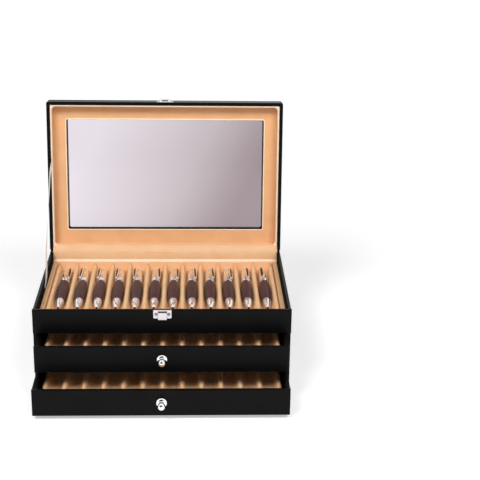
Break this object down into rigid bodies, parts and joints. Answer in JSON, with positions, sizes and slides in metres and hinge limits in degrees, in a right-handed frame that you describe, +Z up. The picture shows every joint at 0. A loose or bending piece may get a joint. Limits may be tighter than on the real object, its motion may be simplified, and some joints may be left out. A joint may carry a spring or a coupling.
{
  "type": "pen collector chest",
  "caption": "Wrapped chest with a hinged glazed lid over a grooved pen tray, two knobbed pen drawers below and a push-button clasp.",
  "frame": {"origin": "middle of the case footprint, on the underside of the base (the shut case, without the pulled drawers or the leaning lid)", "axes": "+X to the chest's right seen from the front, +Y to the rear where the lid is hinged, +Z up"},
  "size_m": [0.3, 0.3152, 0.3037],
  "materials": {
    "black_leatherette": "fine-grained black leatherette, semi-matt, wrapped over board",
    "black_paper_board": "board wrapped in smooth black covering",
    "black_suede": "matt black lining card",
    "cream_flock": "cream velvet flock over formed pen grooves",
    "cream_lining": "smooth warm cream lining fabric with a soft sheen",
    "pen_barrel_lacquer": "dark maroon-brown lacquer",
    "polished_chrome": "polished chrome plate",
    "ribbon_satin": "off-white woven ribbon",
    "screw_steel": "small nickel-plated screws",
    "spring_steel": "plain spring steel",
    "window_glass": "clear flat pane"
  },
  "bodies": {
    "case": {"case_back": "black_leatherette", "case_base": "black_leatherette", "case_rear_liner": "cream_lining", "case_side_left": "black_leatherette", "case_side_right": "black_leatherette", "clasp_plate": "polished_chrome", "clasp_screws": "screw_steel", "clasp_spring": "spring_steel", "compartment_liner_front": "black_suede", "compartment_liner_left": "black_suede", "compartment_liner_right": "black_suede", "drawer_shelf": "black_paper_board", "hinge_leather_strip": "black_leatherette", "hinge_liner": "cream_lining", "pen_barrels": "pen_barrel_lacquer", "pen_caps": "polished_chrome", "pen_clips": "polished_chrome", "pen_tips": "polished_chrome", "stay_ribbon": "ribbon_satin", "top_front_panel": "black_leatherette", "top_shelf": "black_paper_board", "top_tray_base": "cream_flock", "top_tray_border": "cream_flock", "top_tray_dividers": "cream_flock"},
    "lid": {"lid_catch": "polished_chrome", "lid_catch_screws": "screw_steel", "lid_frame": "black_leatherette", "lid_glass": "window_glass", "lid_liner_front": "cream_lining", "lid_liner_left": "cream_lining", "lid_liner_rear": "cream_lining", "lid_liner_right": "cream_lining", "lid_mat": "cream_lining", "lid_wall_front": "black_leatherette", "lid_wall_left": "black_leatherette", "lid_wall_rear": "black_leatherette", "lid_wall_right": "black_leatherette"},
    "middle_drawer": {"middle_drawer_back": "black_paper_board", "middle_drawer_bottom": "black_paper_board", "middle_drawer_front": "black_leatherette", "middle_drawer_side_left": "black_paper_board", "middle_drawer_side_right": "black_paper_board", "middle_knob": "polished_chrome", "middle_knob_screw": "screw_steel", "middle_tray_base": "cream_flock", "middle_tray_dividers": "cream_flock"},
    "bottom_drawer": {"bottom_drawer_back": "black_paper_board", "bottom_drawer_bottom": "black_paper_board", "bottom_drawer_front": "black_leatherette", "bottom_drawer_side_left": "black_paper_board", "bottom_drawer_side_right": "black_paper_board", "bottom_knob": "polished_chrome", "bottom_knob_screw": "screw_steel", "bottom_tray_base": "cream_flock", "bottom_tray_dividers": "cream_flock"},
    "clasp_button": {"clasp_button": "polished_chrome"}
  },
  "joints": [
    {"name": "lid_hinge", "type": "hinge", "parent": "case", "child": "lid", "pos_m": [0, 0.097, 0.10625], "axis": [-1, 0, 0], "range_deg": [-96, 0], "deforming": ["hinge_leather_strip", "hinge_liner", "stay_ribbon"]},
    {"name": "middle_drawer_slide", "type": "slide", "parent": "case", "child": "middle_drawer", "axis": [0, -1, 0], "range_m": [-0.034, 0.111]},
    {"name": "bottom_drawer_slide", "type": "slide", "parent": "case", "child": "bottom_drawer", "axis": [0, -1, 0], "range_m": [-0.068, 0.077]},
    {"name": "clasp_press", "type": "slide", "parent": "case", "child": "clasp_button", "axis": [0, 1, 0], "range_m": [0, 0.0006], "stiffness_N_per_m": 500, "deforming": ["clasp_spring"]}
  ]
}
